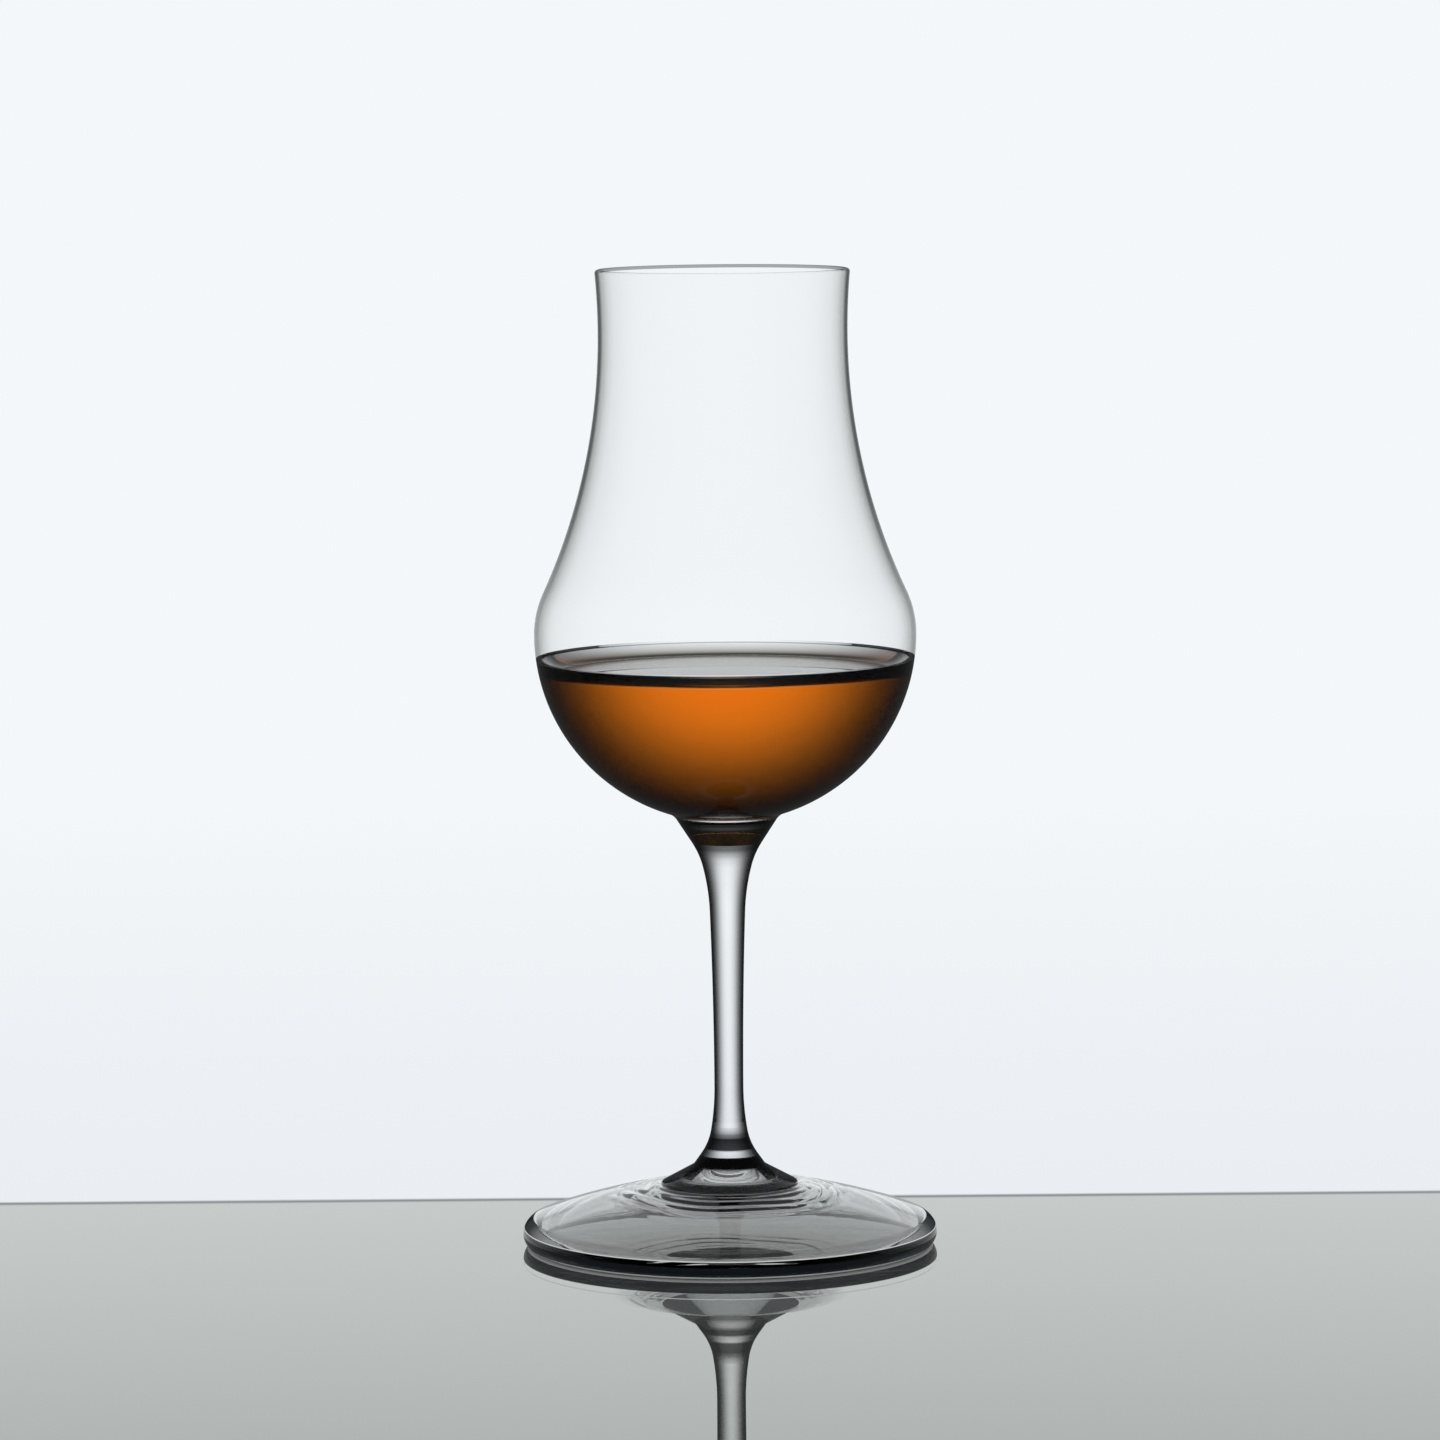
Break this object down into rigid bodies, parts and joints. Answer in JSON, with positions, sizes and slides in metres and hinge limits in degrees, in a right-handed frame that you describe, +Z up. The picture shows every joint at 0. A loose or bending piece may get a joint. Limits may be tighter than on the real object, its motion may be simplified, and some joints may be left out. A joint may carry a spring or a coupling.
{
  "type": "tulip tasting glass",
  "caption": "Stemmed tulip tasting glass with a round belly, a narrow flared neck, a thin stem and a domed foot, holding a measure of amber spirit.",
  "frame": {"origin": "centre of the ring that the foot stands on", "axes": "+Z up along the axis of the glass, from the foot to the rim; the glass is round, so X and Y are free"},
  "size_m": [0.0702, 0.0702, 0.165],
  "materials": {
    "clear_glass": "clear lead-free crystal, fire polished",
    "amber_spirit": "clear amber liquid"
  },
  "bodies": {
    "root": {"bowl": "clear_glass", "stem": "clear_glass", "foot": "clear_glass", "spirit": "amber_spirit"}
  },
  "joints": []
}
